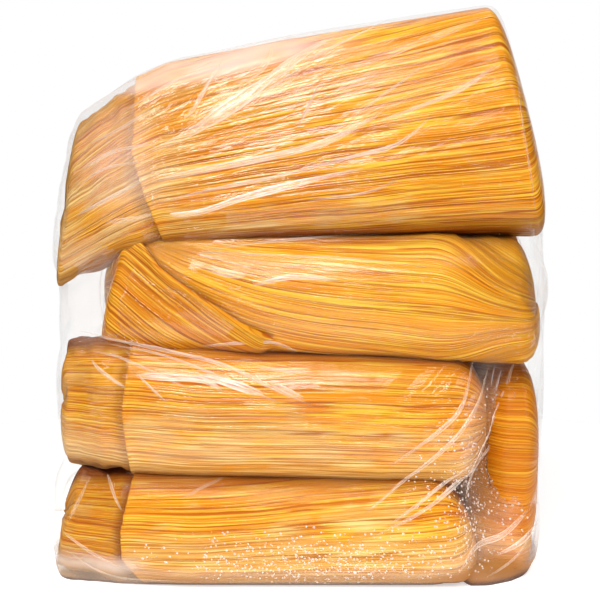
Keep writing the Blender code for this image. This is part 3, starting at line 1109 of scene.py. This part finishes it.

# %% [markdown]
# ## Clear film
# Film this thin bends light too little to see: it lets it straight through, apart from the shine on its
# surface, which grows where the film is seen edge-on. Trapped moisture adds a little white haze, and low
# down the haze carries painted shade in brown.

# %% Film material


def film_material():
    g = Graph("clear_film")
    height = 0.0
    for index, field in enumerate(("crease_a", "crease_b", "crease_c")):
        along, across, strength = g.parts(g.attribute(field, "Vector"))
        bend = across + g.noise(along / 30, across / 10, 3 + index, 1.0) * 3.0
        wide = g.facets(along / 50, bend / 3.6, index)
        height = height + strength * wide * -0.75
        if index == 0:
            thin = g.facets(along / 34, bend / 1.3, index + 5)
            height = height + strength * thin * -0.2
    along, across, cling = g.parts(g.attribute("cling", "Vector"))
    cord, fine, crest = fibre_textures(g, along, across)
    height = height + cling * (cord * 0.14 + fine * 0.05 + crest.rise(0.6, 1.0) * 0.06)
    place = g.own_place()
    x, y, z = g.parts(place)
    height = height + g.noise_in_space(place, 0.009) * 0.4
    scribble = g.noise((x + y) / 0.003, z / 0.0007, 2, 1.0)
    patch = g.noise((x + y) / 0.018, z / 0.009, 4, 1.0).rise(0.5, 0.62)
    height = height + scribble * patch * 0.05
    bump = g.bump(height, 0.001)
    shine = 0.002 + g.attribute("sheen") * (0.016 + 0.046 * cling) + 0.5 * g.facing(bump) ** 4.4
    film = g.mix_shader(shine.clamp(), g.clear(0.985, 0.98, 0.975), g.mirror(0.05, bump))
    tint = g.mix(g.attribute("foot"), colour(250, 240, 232), colour(204, 162, 116))
    # Painted shade: brown at the lower right corner.
    tint = g.mix(g.attribute("painted_corner_shade"), tint, colour(180, 122, 66))
    # Painted shade: dark brown along the foot, a painted contact shadow.
    tint = g.mix(g.attribute("rim"), tint, colour(96, 66, 50))
    milk = g.node("ShaderNodeBsdfDiffuse", {"Color": tint, "Roughness": 0.0})
    return g.finish(g.mix_shader(g.attribute("haze_and_painted_shade"), film, milk))


clear_film = film_material()
film.data.materials.clear()
film.data.materials.append(clear_film)
for polygon in film.data.polygons:
    polygon.use_smooth = True
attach(film, "root")
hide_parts("film_pack")
film.visible_shadow = False
print("film nodes:", len(clear_film.node_tree.nodes))

# %% [markdown]
# ## Pleats laid on the film
# Each marked pleat is a flat ribbon that follows the film. A guide line is dropped onto the film for it,
# and Geometry Nodes sweep a slightly bowed strip along every guide, turned to lie flat, with its two ends
# drawn to a point. The strip keeps its own place across, so that the material can light up its edges.

# %% Geometry Nodes by script


class GeometryTree:
    """A Geometry Nodes tree that turns a mesh and some numbers into the geometry of its last node."""

    def __init__(self, name, numbers):
        self.tree = bpy.data.node_groups.new(name, "GeometryNodeTree")
        face = self.tree.interface
        face.new_socket("Mesh", in_out="INPUT", socket_type="NodeSocketGeometry")
        for number in numbers:
            face.new_socket(number, in_out="INPUT", socket_type="NodeSocketFloat")
        face.new_socket("Result", in_out="OUTPUT", socket_type="NodeSocketGeometry")
        self.given = self.add("NodeGroupInput")

    def add(self, kind, inputs=None, **settings):
        """Adds a node and gives its outputs. An input is a value, or the output of another node."""
        node = self.tree.nodes.new(kind)
        for key, value in settings.items():
            setattr(node, key, value)
        for key, value in (inputs or {}).items():
            if isinstance(value, bpy.types.NodeSocket):
                self.tree.links.new(value, node.inputs[key])
            else:
                node.inputs[key].default_value = value
        return node.outputs

    def maths(self, operation, *values):
        return self.add("ShaderNodeMath", dict(enumerate(values)), operation=operation)[0]

    def named(self, name, kind="FLOAT"):
        return self.add("GeometryNodeInputNamedAttribute", {"Name": name}, data_type=kind)["Attribute"]

    def finish(self, geometry, material):
        """Ends the tree: real geometry, smooth faces and the material."""
        real = self.add("GeometryNodeRealizeInstances", {"Geometry": geometry})[0]
        smoothed = self.add("GeometryNodeSetShadeSmooth", {"Geometry": real})[0]
        painted = self.add("GeometryNodeSetMaterial", {"Geometry": smoothed, "Material": material})[0]
        result = self.tree.nodes.new("NodeGroupOutput")
        self.tree.links.new(painted, result.inputs[0])

    def run(self, mesh, values, name):
        """The tree's result on a mesh, as a plain mesh object."""
        carrier = add_object("carrier", mesh)
        modifier = carrier.modifiers.new(self.tree.name, "NODES")
        modifier.node_group = self.tree
        for item in self.tree.interface.items_tree:
            if item.in_out == "INPUT" and item.name in values:
                modifier[item.identifier] = values[item.name]
        made = evaluated_copy(carrier, name)
        bpy.data.objects.remove(carrier)
        return made


# %% Pleats

OFF_FILM = 0.00025
THINNEST = 0.00003
PATTERN_SHIFT = 170.0


def guide_lines(film, pleats):
    """One line of edges for each pleat, on the film, with what the strip needs at each point."""
    mesh = film.data
    skin = BVHTree.FromPolygons([v.co for v in mesh.vertices], [p.vertices for p in mesh.polygons])
    places, edges, normals, numbers = [], [], [], []
    for index, pleat in enumerate(pleats):
        line = curve_through(pleat.points, 1.0) / 1000
        side = 1 if pleat.behind else -1
        hits = [skin.ray_cast(Vector((x, 0.2 * side, z)), Vector((0, -side, 0))) for x, z in line]
        line, out = [np.array([hit[k] for hit in hits if hit[0] is not None]) for k in (0, 1)]
        for _ in range(3):
            for eased in (line, out):
                eased[1:-1] = (eased[:-2] + eased[1:-1] * 2 + eased[2:]) / 4
        share = np.linspace(0, 1, len(line))
        taper = np.clip(np.sin(math.pi * share), 0, 1) ** 0.55
        wobble = 0.7 + 0.6 * noise(share * len(line) / 9, index * 7.3, 401)
        half = pleat.width / 2000 * taper * wobble + THINNEST
        start = sum(len(part) for part in places)
        places.append(line + out * OFF_FILM)
        normals.append(out)
        edges += [(start + i, start + i + 1) for i in range(len(line) - 1)]
        walked = np.linspace(0, len(line), len(line)) + index * PATTERN_SHIFT
        numbers.append(np.column_stack([half, walked, pleat.milk * taper**0.5]))
    mesh = bpy.data.meshes.new("guides")
    mesh.from_pydata(np.concatenate(places), edges, [])
    for name, column in zip(("half", "along", "milk"), np.concatenate(numbers).T):
        store(mesh, name, column)
    store(mesh, "out", np.concatenate(normals))
    return mesh


def pleat_tree(material):
    t = GeometryTree("lay_pleats", ("Width", "Bow"))
    out = t.named("out", "FLOAT_VECTOR")
    lines = t.add("GeometryNodeMeshToCurve", {"Mesh": t.given["Mesh"]})[0]
    lines = t.add("GeometryNodeSetCurveNormal", {"Curve": lines, "Normal": out}, mode="FREE")[0]
    strip = t.add("GeometryNodeCurvePrimitiveLine", {"Start": (0, -1, 0), "End": (0, 1, 0)})[0]
    strip = t.add("GeometryNodeResampleCurve", {"Curve": strip, "Count": 7})[0]
    factor = t.add("GeometryNodeSplineParameter")["Factor"]
    kept = {"Geometry": strip, "Name": "across", "Value": t.maths("MULTIPLY_ADD", factor, 2.0, -1.0)}
    strip = t.add("GeometryNodeStoreNamedAttribute", kept, data_type="FLOAT", domain="POINT")[0]
    place = t.named("across")
    bow = t.maths("MULTIPLY", t.maths("SUBTRACT", 1.0, t.maths("MULTIPLY", place, place)), t.given["Bow"])
    raised = t.add("ShaderNodeCombineXYZ", {0: bow})[0]
    strip = t.add("GeometryNodeSetPosition", {"Geometry": strip, "Offset": raised})[0]
    width = t.maths("MULTIPLY", t.named("half"), t.given["Width"])
    swept = t.add("GeometryNodeCurveToMesh", {"Curve": lines, "Profile Curve": strip, "Scale": width})[0]
    t.finish(swept, material)
    return t


def pleat_material():
    g = Graph("pleated_film")
    across, along, milk = [g.attribute(name) for name in ("across", "along", "milk")]
    grain = g.noise(along / 6, across * 2, 5)
    threads = g.noise(along / 30, across * 3.2, 9)
    rim = across.absolute().rise(0.55, 0.95)
    bump = g.bump(threads * 0.5 + grain * 0.3 + rim * -0.4, 0.0006)
    tint = g.mix(milk, colour(252, 206, 140), colour(255, 246, 240))
    pale = g.node("ShaderNodeBsdfDiffuse", {"Color": tint, "Normal": bump})
    # Painted light: the pleats glow a little, so that they stay pale where they lie in shade.
    glow = g.node("ShaderNodeEmission", {"Color": tint, "Strength": 0.18})
    lit = g.node("ShaderNodeAddShader", {0: pale, 1: glow})
    white = g.mix_shader(0.12, lit, g.mirror(0.1, bump))
    fill = milk * (0.26 + 0.5 * threads.rise(0.35, 0.65) * grain.rise(0.25, 0.6) + 0.55 * rim)
    return g.finish(g.mix_shader(fill.clamp(), g.clear(0.99, 0.98, 0.97), white))


strips = pleat_tree(pleat_material())
pleats = strips.run(guide_lines(film, PLEATS), {"Width": 0.88, "Bow": 0.25}, "film_pleats")
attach(pleats, "root")
pleats.visible_shadow = False
print("pleat faces:", len(pleats.data.polygons))

# %% [markdown]
# ## Drops under the film
# Steam settles on the inside of the film as small drops, thickest low down and where the film stands
# off. Geometry Nodes strew flattened beads over the film, as densely as the film's own map says.

# %% Condensation


def drop_tree(material):
    t = GeometryTree("strew_drops", ("Density", "Largest"))
    density = t.maths("MULTIPLY", t.named("wet"), t.given["Density"])
    over = {"Mesh": t.given["Mesh"], "Density": density, "Seed": 7}
    strewn = t.add("GeometryNodeDistributePointsOnFaces", over, distribute_method="RANDOM")
    limits = {"Min": 0.25, "Max": 1.0, "Seed": 3}
    size = t.add("FunctionNodeRandomValue", limits, data_type="FLOAT")["Value"]
    scale = t.maths("MULTIPLY", t.maths("POWER", size, 2.2), t.given["Largest"])
    flat = t.add("ShaderNodeCombineXYZ", {0: scale, 1: scale, 2: t.maths("MULTIPLY", scale, 0.45)})[0]
    bead = t.add("GeometryNodeMeshIcoSphere", {"Radius": 1.0, "Subdivisions": 1})["Mesh"]
    beads = {"Points": strewn["Points"], "Instance": bead, "Rotation": strewn["Rotation"], "Scale": flat}
    t.finish(t.add("GeometryNodeInstanceOnPoints", beads)[0], material)
    return t


def drop_material():
    g = Graph("condensation")
    shape = g.noise_in_space(g.own_place(), 0.0011, 1.0)
    bump = g.bump(shape, 0.0002, 0.4)
    shine = (0.12 + 0.5 * g.facing(bump) ** 2.0).clamp()
    lens = g.mix_shader(shine, g.clear(0.97, 0.95, 0.93), g.mirror(0.12, bump))
    pale = g.node("ShaderNodeBsdfDiffuse", {"Color": colour(255, 246, 236)})
    return g.finish(g.mix_shader((0.18 + 0.3 * shape).clamp(), lens, pale))


beads = drop_tree(drop_material())
drops = beads.run(film.data.copy(), {"Density": 1200000.0, "Largest": 0.00055}, "condensation")
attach(drops, "root")
drops.visible_shadow = False
print("drop faces:", len(drops.data.polygons))

# %% [markdown]
# ## Studio
# A pale floor, a bright soft light above and in front, whose reflection makes the film's highlights, and
# weak fill from all round. The background shows white, but it lights the pack only dimly.

# %% Floor, light and camera


def make_floor():
    bm = bmesh.new()
    bmesh.ops.create_circle(bm, cap_ends=True, segments=96, radius=0.27)
    mesh = bpy.data.meshes.new("floor")
    bm.to_mesh(mesh)
    bm.free()
    g = Graph("floor")
    inputs = {
        "Base Color": (0.92, 0.92, 0.92, 1),
        "Roughness": 0.9,
        "Normal": g.bump(g.noise_in_space(g.own_place(), 0.003), 0.0001, 0.2),
        "Emission Color": WHITE,
        "Emission Strength": 0.5,
    }
    mesh.materials.append(g.finish(g.node("ShaderNodeBsdfPrincipled", inputs)))
    return add_object("floor", mesh)


def aim(obj, target, azimuth, elevation, distance):
    """Makes the object look at the target. Azimuth 0 is in front of the pack and 90 to its right."""
    a, e = math.radians(azimuth), math.radians(elevation)
    away = Vector((math.sin(a) * math.cos(e), -math.cos(a) * math.cos(e), math.sin(e)))
    obj.location = Vector(target) + away * distance
    obj.rotation_euler = (-away).to_track_quat("-Z", "Y").to_euler()


def make_light(name, azimuth, elevation, distance, size, power):
    data = bpy.data.lights.new(name, "AREA")
    data.shape = "RECTANGLE"
    data.size, data.size_y = size
    data.energy = power
    aim(add_object(name, data), (0, 0, 0.1), azimuth, elevation, distance)


def make_world():
    """White to the camera. For light and reflections, only a backdrop behind the pack is bright."""
    g = Graph("studio", "World")
    _, depth, _ = g.parts(g.node("ShaderNodeTexCoord", output="Generated"))
    glow = depth.rise(0.7, 0.97, 0.07, 0.95)
    lit = g.node("ShaderNodeBackground", {"Color": WHITE, "Strength": glow})
    seen = g.node("ShaderNodeBackground", {"Color": WHITE})
    to_camera = g.node("ShaderNodeLightPath", output="Is Camera Ray")
    bpy.context.scene.world = g.finish(g.mix_shader(to_camera, lit, seen))


def make_camera(elevation, distance, target, lens):
    data = bpy.data.cameras.new("camera")
    data.lens = lens
    data.sensor_width = 36
    camera = add_object("camera", data)
    aim(camera, target, 0, elevation, distance)
    bpy.context.scene.camera = camera


floor = make_floor()
make_world()
make_light("key", -12, 44, 0.95, (0.6, 0.4), 8.1)
make_light("fill_left", -65, 20, 1.1, (0.5, 0.8), 2.0)
make_light("fill_right", 55, 22, 1.1, (0.5, 0.8), 4.0)
make_light("back_light", 180, 55, 1.1, (0.8, 0.5), 2.0)
make_camera(8, 0.598, (0.0003, 0, 0.0953), 100)
bpy.context.scene.view_settings.view_transform = "Standard"
